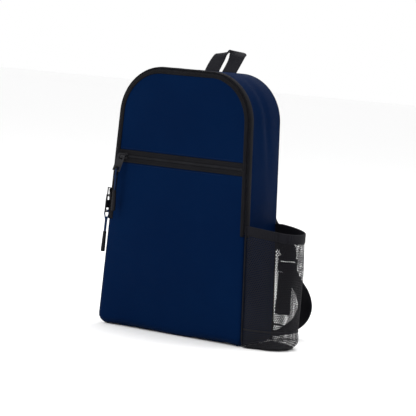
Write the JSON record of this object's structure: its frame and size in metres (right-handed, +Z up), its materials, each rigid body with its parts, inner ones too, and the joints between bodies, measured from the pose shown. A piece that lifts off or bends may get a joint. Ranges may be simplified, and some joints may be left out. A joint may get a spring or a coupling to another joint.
{
  "type": "school backpack",
  "caption": "Small box-shaped fabric backpack with an arched zip flap, a zipped front pocket, a mesh bottle pocket, a webbing grab handle and padded shoulder straps.",
  "frame": {"origin": "the middle of the flat base panel's underside", "axes": "+X towards the bottle pocket's side, +Y towards the wearer's back, +Z up"},
  "size_m": [0.3285, 0.1822, 0.4208],
  "materials": {
    "shell_fabric": "fine plain-weave navy polyester with a soft sheen",
    "black_fabric": "black woven webbing, binding tape and padding cover",
    "lining_fabric": "thin grey woven lining",
    "mesh_fabric": "black knitted mesh with small hexagonal holes",
    "foam_pad": "closed-cell foam sheet",
    "zip_tape": "black ribbed zip tape",
    "zip_teeth": "moulded nylon coil",
    "zip_metal": "black enamelled die-cast metal",
    "lock_plastic": "black acetal with a fine satin grain",
    "cord_fabric": "navy braided cord",
    "grip_rubber": "soft black moulded sleeve"
  },
  "bodies": {
    "pack_shell": {"back_panel": "black_fabric", "back_foam_pad": "foam_pad", "gusset": "shell_fabric", "base_panel": "shell_fabric", "front_lower_panel": "shell_fabric", "pocket_lining_lower": "lining_fabric", "main_zip_tape_body": "zip_tape", "main_zip_teeth_body": "zip_teeth", "main_zip_end_stops": "zip_metal", "pocket_seam_binding": "black_fabric", "mesh_pocket": "mesh_fabric", "mesh_pocket_floor": "mesh_fabric", "mesh_pocket_binding": "black_fabric", "strap_yoke": "black_fabric", "shoulder_strap_left": "black_fabric", "shoulder_strap_right": "black_fabric", "strap_end_loop_left": "black_fabric", "strap_end_loop_right": "black_fabric", "ladder_lock_left": "lock_plastic", "ladder_lock_right": "lock_plastic", "adjuster_webbing_left": "black_fabric", "adjuster_webbing_right": "black_fabric", "anchor_tab_left": "black_fabric", "anchor_tab_right": "black_fabric"},
    "front_flap": {"front_upper_panel": "shell_fabric", "pocket_panel_upper": "shell_fabric", "pocket_lining_upper": "lining_fabric", "main_zip_tape_flap": "zip_tape", "main_zip_teeth_flap": "zip_teeth", "pocket_zip_tape_upper": "zip_tape", "pocket_zip_tape_lower": "zip_tape", "pocket_zip_teeth": "zip_teeth", "pocket_zip_end_stops": "zip_metal"},
    "pocket_slider": {"pocket_slider": "zip_metal"},
    "pocket_puller": {"pocket_puller": "zip_metal"},
    "pocket_pull": {"pocket_pull_cord": "cord_fabric", "pocket_pull_grip": "grip_rubber"},
    "main_slider": {"main_slider": "zip_metal"},
    "main_puller": {"main_puller": "zip_metal"},
    "main_pull": {"main_pull_cord": "cord_fabric", "main_pull_grip": "grip_rubber"},
    "grab_handle": {"grab_handle": "black_fabric"},
    "strap_tail_left": {"strap_tail_left": "black_fabric"},
    "strap_tail_right": {"strap_tail_right": "black_fabric"}
  },
  "joints": [
    {"name": "flap_fold", "type": "hinge", "parent": "pack_shell", "child": "front_flap", "pos_m": [0, -0.045, 0.156], "axis": [1, 0, 0], "range_deg": [0, 110]},
    {"name": "pocket_slide", "type": "slide", "parent": "front_flap", "child": "pocket_slider", "axis": [1, 0, 0], "range_m": [0, 0.197]},
    {"name": "pocket_puller_swing", "type": "hinge", "parent": "pocket_slider", "child": "pocket_puller", "pos_m": [-0.1005, -0.0535, 0.253], "axis": [-1, 0, 0], "range_deg": [0, 110]},
    {"name": "pocket_pull_swing", "type": "hinge", "parent": "pocket_puller", "child": "pocket_pull", "pos_m": [-0.10576, -0.05704, 0.23089], "axis": [-0.829, -0.5592, 0], "range_deg": [0, 80]},
    {"name": "main_slide", "type": "slide", "parent": "pack_shell", "child": "main_slider", "axis": [0.0461, 0, 0.9989], "range_m": [0, 0.108]},
    {"name": "main_puller_swing", "type": "hinge", "parent": "main_slider", "child": "main_puller", "pos_m": [-0.12721, -0.04165, 0.19185], "axis": [0, 1, 0], "range_deg": [0, 110]},
    {"name": "main_pull_swing", "type": "hinge", "parent": "main_puller", "child": "main_pull", "pos_m": [-0.12839, -0.04165, 0.16637], "axis": [0, 1, 0], "range_deg": [0, 80]},
    {"name": "handle_flop", "type": "hinge", "parent": "pack_shell", "child": "grab_handle", "pos_m": [0, 0.042, 0.3873], "axis": [1, 0, 0], "range_deg": [-20, 80]},
    {"name": "tail_swing_left", "type": "hinge", "parent": "pack_shell", "child": "strap_tail_left", "pos_m": [-0.108, 0.0956, 0.097], "axis": [-1, 0, 0], "range_deg": [0, 36]},
    {"name": "tail_swing_right", "type": "hinge", "parent": "pack_shell", "child": "strap_tail_right", "pos_m": [0.108, 0.0956, 0.097], "axis": [-1, 0, 0], "range_deg": [0, 36]}
  ]
}
